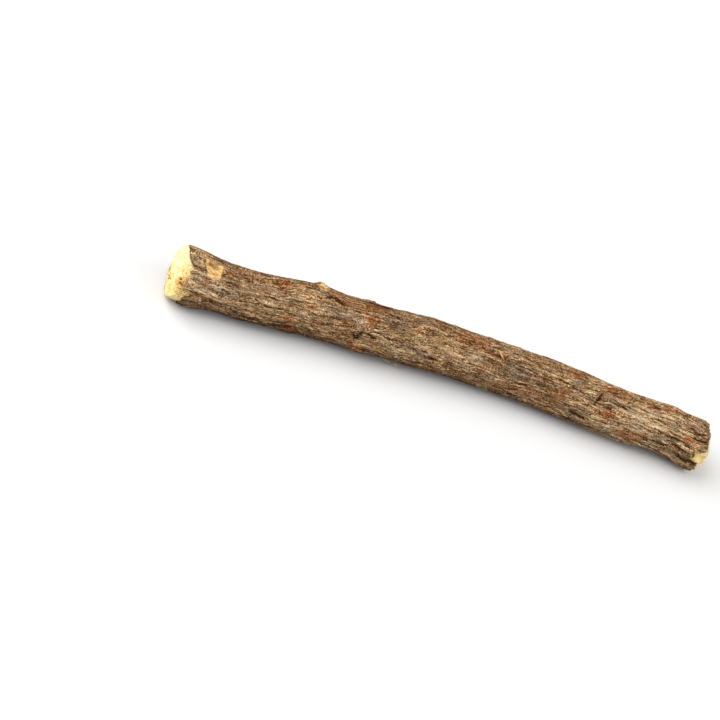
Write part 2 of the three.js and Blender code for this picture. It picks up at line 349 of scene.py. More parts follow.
# How much the height of the bark shows in its tone along the root, as painted light on its ridges
# and painted shade in its hollows: s, share.
RELIEF_TONE = [(0, 1.0), (110, 1.0), (145, 1.5), (168, 1.7)]


def patches(s, turn, spots):
    """How far each point lies in any of the spots, whose edges are frayed by noise."""
    fray = 0.5 * bark_noise(s + 60, turn, 1.6, 1.1) + 0.25 * bark_noise(s + 61, turn, 0.6, 0.5)
    found = np.zeros(np.broadcast(s, turn).shape)
    for at, turn_at, long, wide, strength in spots:
        away = np.sqrt(((s - at) / long) ** 2 + (mm_round(turn_at, turn) / wide) ** 2)
        found = np.maximum(found, strength * smoothstep(away + fray, 1.25, 0.65))
    return found


def named_cracks(s, turn):
    """How deep in a named crack each point lies, and how far up on the lips beside it."""
    found = np.zeros(np.broadcast(s, turn).shape)
    lips = np.zeros(found.shape)
    along_waver = s + 0.25 * bark_noise(s + 820, turn, 1.6, 1.4)
    turn_waver = turn + 2.2 * bark_noise(s + 860, turn, 1.8, 1.6)
    fray = 1 + 0.5 * bark_noise(s + 880, turn, 0.9, 0.8)
    for width, places in CRACKS:
        steps = list(zip(places, places[1:]))
        total = sum(math.hypot(b[0] - a[0], (b[1] - a[1]) * MM_PER_DEGREE) for a, b in steps)
        gone = 0.0
        for (s0, turn0), (s1, turn1) in steps:
            x = along_waver - s0
            y = mm_round(turn0, turn_waver)
            dx, dy = s1 - s0, math.radians(turn1 - turn0) * MEAN_RADIUS
            span = math.hypot(dx, dy)
            t = np.clip((x * dx + y * dy) / span ** 2, 0, 1)
            away = np.hypot(x - t * dx, y - t * dy)
            share = (gone + t * span) / max(total, span)
            here = 0.8 * width * (0.4 + 0.55 * np.sin(np.pi * np.clip(share, 0, 1)) ** 0.7) * fray
            found = np.maximum(found, np.exp(-((away / here) ** 2)))
            lips = np.maximum(lips, np.exp(-(((away - here - 0.35) / 0.3) ** 2)))
            gone += span
    return found, lips


# The knot parts the grain by KNOT_DRIFT degrees at these places: s, turn, reach along and round.
KNOT_DRIFT = 5
KNOT_ABOVE, KNOT_BELOW = (57, 34, 5, 2.4), (57, 8, 5, 2.4)


def drift_at(s, turn):
    """How far round, in degrees, the grain wanders at each place."""
    knot = KNOT_DRIFT * bump_at(s, turn, *KNOT_ABOVE) - KNOT_DRIFT * bump_at(s, turn, *KNOT_BELOW)
    broad = 11 * bark_noise(s + 500, turn, 22, 8) + 6 * bark_noise(s + 900, turn, 8, 3.4)
    return broad + knot + 2 * bark_noise(s + 950, turn, 2.6, 1.6)


# How strongly the ridges of the fine bark stand out along the root: s, share.
BOLDNESS = [(0, 0.4), (12, 0.6), (70, 0.6), (120, 0.75), (150, 1.2), (168, 1.5)]
# How high each part of the fine bark stands, and how deep its cracks are.
WIDE_RIDGE, FINE_RIDGE, FLAKY, GRIT, LIP = 0.26, 0.12, 0.13, 0.07, 0.12
CRACK, FINE_CRACK, NAMED_CRACK = 0.2, 0.1, 0.42
LEVEL = 0.6  # the share of a ridge's height that lies level with the CAD's bark


def bark_detail(s, turn):
    """Height in millimetres that the fine bark adds, and how deep in a crack each point lies."""
    drift = drift_at(s, turn)
    bold = along(BOLDNESS, s)

    def ridge(offset, long, wide):
        return np.minimum(1, 2.6 * np.abs(bark_noise(s + offset, turn + drift, long, wide)))

    wide_ridge = ridge(120, 17, 1.6)
    fine_ridge = ridge(240, 8, 0.8)
    gate = smoothstep(bark_noise(s + 700, turn + drift, 7.0, 2.0), -0.1, 0.4)
    fine_gate = smoothstep(bark_noise(s + 1700, turn + drift, 4.5, 1.3), -0.1, 0.4)
    crack = np.exp(-((wide_ridge / 0.17) ** 2)) * gate
    fine_crack = np.exp(-((fine_ridge / 0.3) ** 2)) * fine_gate
    named, lips = named_cracks(s, turn)
    flaky = bark_noise(s + 33, turn + drift, 2.2, 0.8)
    grit = bark_noise(s, turn, 0.8, 0.7)
    height = bold * (WIDE_RIDGE * (wide_ridge - LEVEL) + FINE_RIDGE * (fine_ridge - LEVEL))
    height = height + FLAKY * flaky + GRIT * grit
    height = height - CRACK * crack * bold - FINE_CRACK * fine_crack - NAMED_CRACK * named
    height = height + LIP * lips * (1 - named)
    deep = np.maximum(crack * 0.7 * np.minimum(bold, 1), named * 1.05) + 0.35 * fine_crack
    return height, np.clip(deep, 0, 1.1)


# ---- Pieces ----


def new_object(name, data):
    made = bpy.data.objects.new(name, data)
    scene.collection.objects.link(made)
    return made


def new_piece(name, points, faces):
    """A piece from points in metres, and the points of each face."""
    mesh = bpy.data.meshes.new(name)
    mesh.from_pydata(points, [], faces)
    return new_object(name, mesh)


def closed_grid(name, rows, first, last):
    """A closed mesh from rows of points, in millimetres, and a point at each end."""
    count, columns = rows.shape[:2]
    points = np.concatenate([first[None], rows.reshape(-1, 3), last[None]]) * MM
    here = 1 + np.arange(count)[:, None] * columns + np.arange(columns)[None]
    there = np.roll(here, -1, axis=1)
    quads = np.stack([here[:-1], here[1:], there[1:], there[:-1]], -1).reshape(-1, 4)
    end = 1 + count * columns
    faces = [(0, int(a), int(b)) for a, b in zip(here[0], there[0])]
    faces += [(end, int(b), int(a)) for a, b in zip(here[-1], there[-1])]
    faces += quads.tolist()
    piece = new_piece(name, points.tolist(), faces)
    piece.data.shade_smooth()
    return piece


def store(piece, name, values):
    """Keep a number or a vector for each point of a piece."""
    values = np.asarray(values, float)
    kind, field = ("FLOAT_VECTOR", "vector") if values.ndim == 2 else ("FLOAT", "value")
    piece.data.attributes.new(name, kind, "POINT").data.foreach_set(field, values.ravel())


def read(parts, name):
    """A whole number for each of a mesh's parts."""
    values = np.empty(len(parts), int)
    parts.foreach_get(name, values)
    return values


def add_uv(mesh, uv):
    """Lay the faces out for baking, with a place for each corner."""
    mesh.uv_layers.new(name="OFBake").data.foreach_set("uv", uv.ravel())


def add_bark_uv(mesh, u, v):
    """Lay the bark out in two rows, from u along it and v round it, and undo the wrap round it."""
    loops = read(mesh.loops, "vertex_index")
    starts, totals = read(mesh.polygons, "loop_start"), read(mesh.polygons, "loop_total")
    face = np.repeat(np.arange(len(starts)), totals)
    lu, lv = u[loops], v[loops]
    top = np.maximum.reduceat(lv, starts)[face]
    low = np.minimum.reduceat(lv, starts)[face]
    lv = np.where((top - low > 0.5) & (lv < 0.5), lv + 1, lv)
    row = np.minimum.reduceat(lu, starts)[face] >= 0.5
    lu = np.where(row, lu - 0.5, lu) * 2
    add_uv(mesh, np.stack([0.01 + 0.98 * lu, 0.01 + 0.47 * lv + 0.5 * row], -1))


# The grid of the bark: columns round it and rows along it.
COLUMNS = 160
ROWS = 600
# The rings that close the bark at a cut: how far in, as a share of its thickness, and how deep.
LIP_RINGS = ((0.4, -0.04), (0.9, 0.15), (1.1, 2.0))
LIP_CRACK = 0.4  # the other values that the material reads are 0 there
CLOSED_AT = 8.0  # how far inside each cut the bark's hidden end comes to a point

# The chip in the bark, and the stain in it as s, turn, and reach along and round.
SCAR = {"s": 8.35, "turn": 75, "long": 3.0, "wide": 2.8, "depth": 0.34}
SCAR_STAIN = (8.2, 87, 1.7, 0.9)
STUMP_TIP = (42.4, 111, 1.9, 1.8, 1.2)  # as a patch: s, turn, reach along and round, strength


def scar_at(s, turn):
    """1 inside the chip in the bark, with a frayed square edge."""
    fray = 0.08 * bark_noise(s + 5, turn, 1.3, 1.2) + 0.1 * bark_noise(s + 9, turn, 0.5, 0.5)
    across = mm_round(SCAR["turn"], turn)
    away = (((s - SCAR["s"]) / SCAR["long"]) ** 8 + (across / SCAR["wide"]) ** 8) ** 0.125
    return smoothstep(away + fray, 1.08, 0.9)


def cork_at(s, turn):
    """1 on the round scar of cork."""
    away = np.hypot(s - CORK[0], mm_round(CORK[1], turn))
    return smoothstep(away, CORK[2], CORK[2] - 0.5)


def paleness_and_painted_shading(s, turn):
    """How much paler the bark is than its mean: its pale patches, its paling along the root,
    painted light on its front, and painted shade low down and next to the floor.
    """
    # Painted light on the front, painted shade next to the floor, and then painted shade low down
    # at the front.
    front = along(FRONT_PAINTED_LIGHT, s) * np.cos(np.radians(turn + 10))
    front = front - FLOOR_SHADE * smoothstep(np.cos(np.radians(turn - 285)), 0.5, 0.9)
    low_painted_shade = smoothstep(np.cos(np.radians(turn - 300)), 0.1, 0.9)
    return patches(s, turn, LIGHT) + along(FADING, s) + (front - along(LOW_SHADE, s) * low_painted_shade)


def around_root(s, turn, radius):
    """A straightened copy of each place, in which the grain of the materials runs."""
    angle = np.radians(turn)
    return np.stack(np.broadcast_arrays(s, radius * np.cos(angle), radius * np.sin(angle)), -1)


def make_bark():
    """The bark, closed inside both cuts, with the values that its material reads at each point."""
    turns = np.linspace(0, 360, COLUMNS, endpoint=False)
    s, turn = np.broadcast_arrays(np.linspace(0, LENGTH, ROWS)[:, None], turns[None])
    detail, deep = bark_detail(s, turn)
    scar = scar_at(s, turn)
    tip = np.minimum(patches(s, turn, [STUMP_TIP]), 1)
    cork = cork_at(s, turn)
    rim_of_scar = 4 * scar * (1 - scar)
    stain = np.minimum(1, 1.5 * bump_at(s, turn, *SCAR_STAIN))
    scar_grain = 0.12 * bark_noise(s + 15, turn, 1.5, 0.6) - 0.3 * stain
    torn_tip = 0.4 * bark_noise(s + 25, turn, 0.5, 0.5) - 0.15 * tip
    plain = (1 - scar) * (1 - 0.75 * cork)
    height = detail * plain + scar * (scar_grain - SCAR["depth"]) + 0.12 * rim_of_scar
    height = height + torn_tip * tip + 0.1 * cork
    rust = np.maximum(patches(s, turn, RUST), 1.1 * cork)
    rust = np.maximum(rust * (1 - scar), 0.9 * stain * scar)
    r = radius_at(s, turn) + height
    near_left = smoothstep(CUT_BLEND - s, 0, CUT_BLEND)
    near_right = smoothstep(s - LENGTH + CUT_BLEND, 0, CUT_BLEND)
    shift = near_right * (lean_shift(RIGHT, turn, r) - bare_length(RIGHT, turn))
    shift = shift - near_left * (lean_shift(LEFT, turn, r) - bare_length(LEFT, turn))

    rows = [place(s + shift, turn, r)]
    grains = [around_root(s + shift, turn + drift_at(s, turn), MEAN_RADIUS)]
    scalars = {
        # crack: painted shade in the cracks and round the rim of the chip.
        "crack": [np.maximum(deep * plain * (1 - tip), 0.35 * rim_of_scar)],
        # relief: painted light on the ridges and painted shade in the hollows.
        "relief": [height * along(RELIEF_TONE, s)],
        "rust": [rust],
        "grey": [patches(s, turn, GREY)],
        # light: the bark's paleness, with its painted light and painted shade.
        "light": [paleness_and_painted_shading(s, turn)],
        "bare": [np.maximum(scar * (1 - 0.75 * stain), 0.65 * tip)],
    }
    for cut, end, outward, rim in ((LEFT, 0.0, -1, r[0]), (RIGHT, LENGTH, 1, r[-1])):
        for inset, depth in LIP_RINGS:
            radius = rim - bark_thickness(cut, turns) * inset
            at = end + outward * (lean_shift(cut, turns, radius) - bare_length(cut, turns) - depth)
            spot = 0 if outward < 0 else len(rows)
            rows.insert(spot, place(at, turns, radius)[None])
            grains.insert(spot, around_root(at, turns, radius)[None])
            for key, values in scalars.items():
                values.insert(spot, np.full((1, COLUMNS), LIP_CRACK if key == "crack" else 0.0))
    rows = np.concatenate(rows)
    ends = CLOSED_AT, LENGTH - CLOSED_AT
    piece = closed_grid("root_bark", rows, *(place(at, 0.0, 0.0) for at in ends))
    flat = np.concatenate(grains).reshape(-1, 3)
    store(piece, "grain", np.concatenate([[[ends[0], 0, 0]], flat, [[ends[1], 0, 0]]]))
    for key, values in scalars.items():
        store(piece, key, np.concatenate([[0.0], np.concatenate(values).ravel(), [0.0]]))
    u = np.repeat(np.linspace(0, 1, len(rows)), COLUMNS)
    v = np.tile(turns / 360, len(rows))
    add_bark_uv(piece.data, np.concatenate([[0.0], u, [1.0]]), np.concatenate([[0.5], v, [0.5]]))
    return piece


# The grid of the wood: columns round it, rings along its side and rings on its face.
WOOD_COLUMNS = 180
SIDE_RINGS = 22
FACE_RINGS = 40
HIDDEN_SIDE = 4.0  # how much of the wood's side lies inside the bark
WOOD_CLOSED_AT = 9.0  # how far inside the cut its hidden end comes to a point

# In the tables below, -1 is the left cut and 1 the right cut.
# Where the wood of a cut stands out as a torn splinter: turn, reach in degrees, length.
SPLINTERS = {-1: [(322, 16, 0.4), (290, 28, 0.6)], 1: [(350, 30, 0.3), (30, 26, 0.6)]}
# Marks on the face of a cut. Each lies at a place towards CUT_TURN and down from it, and has a
# reach in each of the two ways and a strength: ochre stains, pits, and streaks down the face.
STAINS = {
    -1: [(6.2, 3.4, 2.2, 2, 1.4), (6.6, 5.2, 2.6, 1.5, 1.1), (-5.6, -0.2, 1.7, 1, 1.7),
         (-3.6, 2.3, 1.7, 0.6, 1.3), (-4.6, 5, 1.4, 2.4, 0.7), (6.6, -1.2, 1.2, 1.8, 0.7),
         (1, 5.6, 2.4, 1.6, 0.4)],
    1: [(4.6, 4.2, 3, 2, 0.6), (-3, 1.5, 2.2, 1.4, 0.9), (-1, -4, 1.6, 2, 0.6),
        (2, 2, 1.6, 1.2, 0.5)],
}
PITS = {
    -1: [(5.8, 1.8, 0.7, 0.3, 1), (6.4, 3, 0.6, 0.3, 0.9), (-4.2, 2.3, 1.2, 0.25, 0.9),
         (-1.8, 2.7, 1.2, 0.2, 0.7), (-5.2, 0.2, 0.5, 0.3, 0.7)],
    1: [(-1.5, 1, 0.9, 0.5, 0.8), (2.6, -2.4, 0.5, 0.5, 0.5)],
}
STREAKS = {
    -1: [(-3.4, 4.8, 2.2, 2.8, 1), (2, 5.6, 2.6, 1.6, 0.6)],
    1: [(2.5, 4, 3.4, 3, 0.8)],
}
# How ochre the side of the wood is, how much more so round a turn, that turn, and its reach.
SIDE_OCHRE = (0.2, 1.1, 15, 28)
# How much less ochre, and so paler, the wood of a cut is painted, as painted light.
PAINTED_LIGHT = {-1: 0.0, 1: 0.95}
# A step torn down into the face: how far down from CUT_TURN it lies, its width and its depth.
STEP_DROP, STEP_WIDTH, STEP_DEPTH = 1.7, 0.35, 0.3


def marks(across, drop, spots):
    """How strongly any of the spots marks each place on the face of a cut."""
    found = np.zeros(np.shape(across))
    for a, d, reach_a, reach_d, strength in spots:
        away = ((across - a) / reach_a) ** 2 + ((drop - d) / reach_d) ** 2
        found = np.maximum(found, strength * np.exp(-away))
    return found


def make_wood(name, cut, end, outward):
    """The wood of one cut, from a hidden back inside the bark to its domed, torn face."""
    around = np.linspace(0, 360, WOOD_COLUMNS, endpoint=False)
    wood = radius_at(np.full(WOOD_COLUMNS, end), around) - bark_thickness(cut, around)
    splinter = sum(
        length * np.exp(-((turn_between(turn, around) / reach) ** 2))
        for turn, reach, length in SPLINTERS[outward]
    )
    splinter = splinter * (1 + 1.2 * bark_noise(end + 60, around, 1.0, 0.9))
    rows, grains, faces, stains = [], [], [], []
    ochre, more, at, reach = SIDE_OCHRE
    side_ochre = ochre + more * np.exp(-((turn_between(at, around) / reach) ** 2))
    side, down = np.cos(np.radians(around - CUT_TURN)), -np.sin(np.radians(around - CUT_TURN))

    def ring(radius, shift, facing):
        """One ring of points, facing 0 on the side of the wood and 1 on its face."""
        at = end + outward * shift
        across, drop = radius * side, radius * down
        # Painted light on the wood of the cut, less of it on its face, and less ochre towards the
        # top of each face.
        paler = PAINTED_LIGHT[outward] * (1 - 0.6 * facing) + 0.3 * smoothstep(-drop, -1.5, 3.5)
        rows.append(place(at, around, radius))
        grains.append(around_root(at, around, radius))
        faces.append(np.stack([across, drop, np.full(WOOD_COLUMNS, facing)], -1))
        stains.append(np.stack([
            np.maximum(marks(across, drop, STAINS[outward]), side_ochre * (1 - facing)) - paler,
            marks(across, drop, PITS[outward]),
            marks(across, drop, STREAKS[outward]),
        ], -1))

    back = bare_length(cut, around, 0.0) + HIDDEN_SIDE
    ragged = 0.22 * bark_noise(end + 70, around, 1.0, 0.7)
    ragged = ragged + 0.14 * bark_noise(end + 71, around, 1.0, 0.3)
    edge = cut["proud"] - 0.25 + 0.8 * splinter + ragged
    for share in np.linspace(1, 0, SIDE_RINGS):
        shift = lean_shift(cut, around, wood) + edge - share * back
        inside = np.clip(end + outward * shift, 0, LENGTH)
        fray = 0.16 * bark_noise(inside + 40, around, 0.5, 0.45)
        fray = fray + 0.12 * bark_noise(inside + 80, around, 3.0, 1.2)
        radius = radius_at(inside, around) - bark_thickness(cut, around) - 0.1 * share
        worn = (1 - share) ** 10
        ring(radius + fray * (1 - share) - 0.35 * worn, shift + 0.15 * worn, 0.0)
    for share in np.linspace(0.95, 0.03, FACE_RINGS):
        radius = wood * share
        across, drop = radius * side, radius * down
        lumps = 0.3 * noise(across / 2.6, drop / 2.6, end + 9.5)
        lumps = lumps + 0.2 * noise(across / 1.1, drop / 1.1, end)
        torn = 0.22 * np.abs(noise(across / 0.55, drop / 1.6, end + 3.3))
        streaked = marks(across, drop, STREAKS[outward])
        torn = torn + 0.45 * streaked * noise(across / 0.6, drop / 3.5, end + 5.1)
        rough = 0.3 * marks(across, drop, STAINS[outward])
        rough = rough * noise(across / 0.5, drop / 0.5, end + 7.7)
        pit = -0.9 * marks(across, drop, PITS[outward])
        step = np.exp(-(((drop - STEP_DROP - 0.5 * np.sin(across)) / STEP_WIDTH) ** 2))
        step = -STEP_DEPTH * step * smoothstep(across, 3.0, 1.5)
        dome = cut["dome"] * (1 - share * share) + cut["proud"]
        height = dome + lumps + torn + rough + pit + step + splinter * smoothstep(share, 0.45, 1.0)
        height = height + ragged * smoothstep(share, 0.8, 1.0)
        ring(radius, lean_shift(cut, around, radius) + height, 1.0)
    rows = np.stack(rows)
    deep_end = place(end - outward * WOOD_CLOSED_AT, 0.0, 0.0)
    tip = rows[-1].mean(0)
    order = slice(None) if outward > 0 else slice(None, None, -1)
    ends = (deep_end, tip) if outward > 0 else (tip, deep_end)
    piece = closed_grid(name, rows[order], *ends)
    kept = ("grain", grains, end, 0), ("face", faces, 0, 1), ("stain", stains, 0, 0)
    for key, values, x, z in kept:
        middle_value = [x, 0, z]
        flat = np.stack(values[order]).reshape(-1, 3)
        store(piece, key, np.concatenate([[middle_value], flat, [middle_value]]))
    count = len(rows)
    angle = np.radians(np.tile(around, count))
    reach = np.repeat(np.linspace(1, 0, count)[order], WOOD_COLUMNS)
    u = np.concatenate([[0.5], 0.5 + 0.48 * reach * np.cos(angle), [0.5]])
    v = np.concatenate([[0.5], 0.5 + 0.48 * reach * np.sin(angle), [0.5]])
    add_uv(piece.data, np.stack([u, v], -1)[read(piece.data.loops, "vertex_index")])
    return piece


# The grid of a flake or a fibre.
BLADE_ROWS = 9
BLADE_SIDES = 6
FLAKE_THICKNESS = 0.12
FIBRE_THICKNESS = 0.16


def make_blades(name, blades, thickness, point_at):
    """Thin flakes or fibres. Each is its start and its end, as three numbers that point_at turns
    into a point, the second of them a turn, then its width and bow. Returns the piece, and for
    each of its points the first two of the three numbers and the number of its blade."""
    points, faces, places, numbers, uvs = [], [], [], [], []
    cells = math.ceil(math.sqrt(len(blades)))
    per_blade = BLADE_ROWS * BLADE_SIDES + 2
    t = np.linspace(0, 1, BLADE_ROWS)[:, None]
    phase = np.linspace(0, 2 * math.pi, BLADE_SIDES, endpoint=False)[None]
    here = np.arange(BLADE_SIDES)
    there = (here + 1) % BLADE_SIDES
    for number, (start, stop, width, bow) in enumerate(blades):
        run = np.array([stop[0] - start[0], math.radians(stop[1] - start[1]) * MEAN_RADIUS])
        aside = np.array([-run[1], run[0]]) / np.hypot(*run)
        half = 0.5 * width * np.clip(np.sin(math.pi * (0.06 + 0.88 * t)), 0, 1) ** 0.6
        off = half * np.cos(phase) + 0.12 * width * np.sin(5 * t + number)
        along_blade = start[0] + (stop[0] - start[0]) * t + aside[0] * off
        turn = start[1] + (stop[1] - start[1]) * t + np.degrees(aside[1] * off / MEAN_RADIUS)
        lift = start[2] + (stop[2] - start[2]) * t + bow * np.sin(math.pi * t)
        lift = lift + 0.5 * thickness * np.sin(phase)
        body = point_at(along_blade, turn, lift).reshape(-1, 3)
        tips = [body[:BLADE_SIDES].mean(0), body[-BLADE_SIDES:].mean(0)]
        points.append(np.concatenate([body, tips]))
        first = number * per_blade
        for row in range(BLADE_ROWS - 1):
            a = first + row * BLADE_SIDES
            b = a + BLADE_SIDES
            faces += [(a + i, b + i, b + j, a + j) for i, j in zip(here, there)]
        last = first + (BLADE_ROWS - 1) * BLADE_SIDES
        cap = first + BLADE_ROWS * BLADE_SIDES
        faces += [(cap, first + i, first + j) for i, j in zip(here, there)]
        faces += [(cap + 1, last + j, last + i) for i, j in zip(here, there)]
        place_at = np.stack(np.broadcast_arrays(along_blade, turn), -1).reshape(-1, 2)
        places.append(np.concatenate([place_at, place_at[:1], place_at[-1:]]))
        numbers.append(np.full(per_blade, number))
        cell = np.array([number % cells, number // cells])
        u, v = np.broadcast_arrays(0.1 + 0.8 * t, 0.1 + 0.8 * np.abs(1 - phase / math.pi))
        uv = (np.stack([u.ravel(), v.ravel()], -1) + cell) / cells
        uvs.append(np.concatenate([uv, uv[:1], uv[-1:]]))
    faces = [tuple(int(i) for i in face) for face in faces]
    piece = new_piece(name, (np.concatenate(points) * MM).tolist(), faces)
    piece.data.shade_smooth()
    add_uv(piece.data, np.concatenate(uvs)[read(piece.data.loops, "vertex_index")])
    return piece, np.concatenate(places), np.concatenate(numbers)


def on_bark(s, turn, lift):
    """A point at a height over the fine bark."""
    return place(s, turn, radius_at(s, turn) + bark_detail(s, turn)[0] + lift)


def make_flakes(name, blades):
    """Flakes of bark. Each blade is followed by how rusty and how bare it is."""
    shapes = [blade[:4] for blade in blades]
    piece, places, numbers = make_blades(name, shapes, FLAKE_THICKNESS, on_bark)
    store(piece, "grain", around_root(places[:, 0], places[:, 1], MEAN_RADIUS))
    store(piece, "rust", np.array([blade[4] for blade in blades])[numbers])
    store(piece, "bare", np.array([blade[5] for blade in blades])[numbers])
    for key, value in (("crack", 0.0), ("relief", 0.1), ("grey", 0.0), ("light", 0.3)):
        store(piece, key, np.full(len(numbers), value))
    return piece


# Torn fibres at the rim of a cut: how many, the turns that they lie between, and a seed.
FRAYED = {-1: [(16, 208, 240, 5), (8, 285, 345, 6)], 1: [(8, 325, 375, 7)]}


def make_fibres(name, cut, end, outward):
    """Torn fibres of wood, each from inside the rim of a cut to just outside it."""
    def on_face(radius, turn, lift):
        shift = lean_shift(cut, turn, radius) + cut["proud"] + lift
        return place(end + outward * shift, turn, radius)

    blades = []
    for count, low, high, seed in FRAYED[outward]:
        draw = np.random.RandomState(seed)
        for _ in range(count):
            turn = draw.uniform(low, high)
            rim = radius_at(np.array([end]), np.array([turn]))[0]
            rim = float(rim - bark_thickness(cut, turn))
            inner = (rim - draw.uniform(0.5, 1.3), turn, -0.1)
            radius, aside = rim + draw.uniform(-0.2, 0.4), turn + draw.uniform(-6, 6)
            outer = (radius, aside, draw.uniform(-0.1, 0.5))
            blades.append((inner, outer, draw.uniform(0.15, 0.4), draw.uniform(-0.1, 0.1)))
    piece, places, numbers = make_blades(name, blades, FIBRE_THICKNESS, on_face)
    radius, turn = places[:, 0], places[:, 1]
    towards = np.radians(turn - CUT_TURN)
    store(piece, "grain", around_root(np.full(len(turn), end), turn, radius))
    across, drop = radius * np.cos(towards), -radius * np.sin(towards)
    store(piece, "face", np.stack([across, drop, np.ones(len(turn))], -1))
    ochre = np.random.RandomState(len(blades)).uniform(-0.4, 0.6, len(blades))[numbers]
    store(piece, "stain", np.stack([ochre, np.zeros(len(turn)), np.full(len(turn), 0.5)], -1))
    return piece


# Flakes that stand out: start and end as s, turn and height, then width, bow, rust and bareness.
FLAKES = [
    ((44.8, 97, 0.05), (50.4, 88, 0), 1.2, 0.25, 0.6, 0),
    ((98.6, 82, 0.2), (99.3, 71, 0.25), 0.8, 0.2, 0.2, 0.6),
    ((99, 74, 0.3), (100.9, 62, 0.1), 0.7, 0.2, 0.3, 0.5),
    ((99.2, 80, 0.1), (102.4, 84, 0.05), 0.4, 0.2, 0.2, 0.45),
    ((100.2, 76, 0.1), (101.8, 64, 0), 1.2, 0.3, 0.9, 0),
    ((67.2, -43, 0), (71, -50, 0.9), 0.9, 0.4, 0, 1),
    ((67, -42, 0.1), (71.2, -48, 1.1), 0.8, 0.4, 0, 1),
    ((67.5, -44, 0.1), (70.8, -47, 1.2), 0.7, 0.3, 0, 1),
    ((65.8, -44, 0.1), (69, -50, 0.8), 0.5, 0.3, 0, 1),
    ((40.9, 108, 0), (42.4, 103, 0.1), 0.5, 0.2, 0.1, 1),
    ((42.3, 103, 0.1), (43.9, 109, 0), 0.6, 0.2, 0.1, 1),
]
FLAKE_TRIES = 170
FLAKE_SEED = 23
UNDERSIDE = 35  # degrees each side of the floor that no flake is put in


def random_flakes():
    """Small flakes scattered over the bark, lifted at one end."""
    draw = np.random.RandomState(FLAKE_SEED)
    flakes = []
    for _ in range(FLAKE_TRIES):
        s, turn = draw.uniform(5, LENGTH - 6), draw.uniform(0, 360)
        if abs(turn_between(270, turn)) < UNDERSIDE:
            continue
        long, lifted = draw.uniform(1.4, 5.0), draw.uniform(0.04, 0.2)
        tail, head = (0.0, lifted) if draw.rand() < 0.5 else (lifted, 0.0)
        slant = draw.uniform(-5, 5)
        width, bow, rusty = draw.uniform(0.35, 1.0), draw.uniform(0.0, 0.12), draw.uniform(0, 0.5)
        bare = 0.45 * draw.rand() ** 6
        start, stop = (s - long / 2, turn - slant, tail), (s + long / 2, turn + slant, head)
        flakes.append((start, stop, width, bow, rusty, bare))
    return flakes


# ---- Materials ----


def srgb(r, g, b):
    """A colour given as 0 to 255, as the shader wants it."""
    def linear(c):
        c = c / 255
        return c / 12.92 if c <= 0.04045 else ((c + 0.055) / 1.055) ** 2.4
    return (linear(r), linear(g), linear(b), 1.0)


class Nodes:
    """Short ways to add and join the nodes of one material."""

    def __init__(self, name):
        self.material = bpy.data.materials.new(name)
        self.material.use_nodes = True
        self.tree = self.material.node_tree
        self.shader = self.tree.nodes["Principled BSDF"]

    def add(self, kind, inputs=(), **settings):
        """A new node. Each input is a number, a colour or another node's output."""
        node = self.tree.nodes.new("ShaderNode" + kind)
        for key, value in settings.items():
            setattr(node, key, value)
        for key, value in dict(inputs).items():
            self.put(node.inputs[key], value)
        return node

    def put(self, socket, value):
        if isinstance(value, bpy.types.NodeSocket):
            self.tree.links.new(value, socket)
        else:
            socket.default_value = value

    def attribute(self, name, output="Fac"):
        return self.add("Attribute", attribute_name=name).outputs[output]

    def math(self, operation, a, b=0.0, c=0.0, clamp=False):
        node = self.add("Math", {0: a, 1: b, 2: c}, operation=operation, use_clamp=clamp)
        return node.outputs[0]

    def weighted(self, total, *parts):
        """The total with each part, a value and its share, added in turn."""
        for value, share in parts:
            total = self.math("MULTIPLY_ADD", value, share, total)
        return total

    def ranged(self, value, low, high, to_low=0.0, to_high=1.0):
        ends = {"From Min": low, "From Max": high, "To Min": to_low, "To Max": to_high}
        return self.add("MapRange", {"Value": value, **ends}).outputs[0]

    def noise(self, vector, scale, shift, detail, roughness=0.5, distortion=0.0):
        """Noise whose places are the vector's, scaled and shifted."""
        moved = {"Vector": vector, "Location": (shift, shift, shift), "Scale": scale}
        places = self.add("Mapping", moved).outputs[0]
        kind = {"Vector": places, "Scale": 1.0, "Detail": detail, "Roughness": roughness}
        return self.add("TexNoise", {**kind, "Distortion": distortion}).outputs["Fac"]

    def lumps(self, vector, long, wide, shift, *kind):
        """Noise in lumps of about long along the grain and wide across it."""
        return self.noise(vector, (1 / long, 1 / wide, 1 / wide), shift, *kind)

    def centred(self, value):
        return self.math("SUBTRACT", value, 0.5)

    def component(self, vector, which):
        return self.add("SeparateXYZ", {"Vector": vector}).outputs[which]

    def ramp(self, value, stops):
        node = self.add("ValToRGB", {"Fac": value})
        elements = node.color_ramp.elements
        while len(elements) < len(stops):
            elements.new(1.0)
        for element, (at, colour) in zip(elements, stops):
            element.position = at
            element.color = srgb(*colour)
        return node.outputs["Color"]

    def mix(self, share, a, b):
        return self.add("Mix", {0: share, 6: a, 7: b}, data_type="RGBA").outputs[2]

    def bump(self, height, distance):
        """Make the surface look as uneven as the height, over a distance in metres."""
        node = self.add("Bump", {"Height": height, "Distance": distance, "Strength": 1.0})
        self.put(self.shader.inputs["Normal"], node.outputs[0])


# Colours from the darkest to the palest, each with its place on the tone ramp: of the plain bark,
# its rusty and its grey patches, and the inner bark that a scar or a flake bares.
BARK_TONES = [
    (0, (52, 31, 14)), (0.18, (83, 55, 29)), (0.36, (118, 84, 50)), (0.52, (149, 114, 74)),
    (0.7, (179, 146, 103)), (0.86, (206, 177, 133)), (1, (230, 206, 165)),
]
RUST_TONES = [
    (0, (54, 28, 12)), (0.2, (87, 48, 23)), (0.4, (126, 74, 39)), (0.6, (160, 101, 60)),
    (0.8, (187, 132, 87)), (1, (208, 165, 122)),
]
GREY_TONES = [
    (0, (52, 35, 21)), (0.2, (84, 65, 47)), (0.4, (121, 101, 79)), (0.6, (150, 132, 109)),
    (0.8, (176, 160, 135)), (1, (204, 189, 164)),
]
INNER_TONES = [(0.34, (180, 126, 68)), (0.48, (226, 183, 115)), (0.62, (248, 214, 150))]
PLAIN_TONE = 0.482  # the tone that the bark varies about


